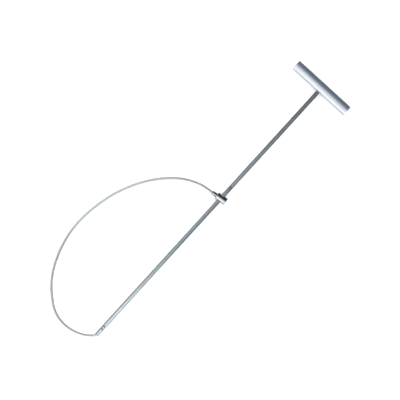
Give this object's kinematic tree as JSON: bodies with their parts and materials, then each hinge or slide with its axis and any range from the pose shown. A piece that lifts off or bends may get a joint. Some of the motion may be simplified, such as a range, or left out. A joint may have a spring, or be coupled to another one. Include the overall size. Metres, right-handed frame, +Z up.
{
  "type": "hog holder",
  "caption": "Steel rod with a T handle and a wire-rope loop at its tip; a sliding barrel on the rod holds the loop's other end and locks by cocking.",
  "frame": {"origin": "under the middle of the box of the rigid parts (rod, handle and slider), on the surface that the holder lies on", "axes": "+X along the rod from its tip to the handle, +Y in the plane of the loop towards the loop, +Z up from the surface"},
  "size_m": [0.6601, 0.2332, 0.0206],
  "materials": {
    "rod_steel": "smooth drawn steel",
    "handle_aluminium": "satin turned aluminium",
    "pin_steel": "plain spring steel",
    "slider_chrome": "polished plating",
    "stud_steel": "swaged steel",
    "rope_steel": "bright laid steel wires"
  },
  "bodies": {
    "rod_and_handle": {"rod": "rod_steel", "handle_bar": "handle_aluminium", "handle_pin": "pin_steel", "wire_rope": "rope_steel"},
    "slider": {"slider_barrel": "slider_chrome", "cable_stud": "stud_steel"}
  },
  "joints": [
    {"name": "slider_slide", "type": "slide", "parent": "rod_and_handle", "child": "slider", "axis": [1, 0, 0], "range_m": [-0.3, 0.2], "deforming": ["wire_rope"]}
  ]
}
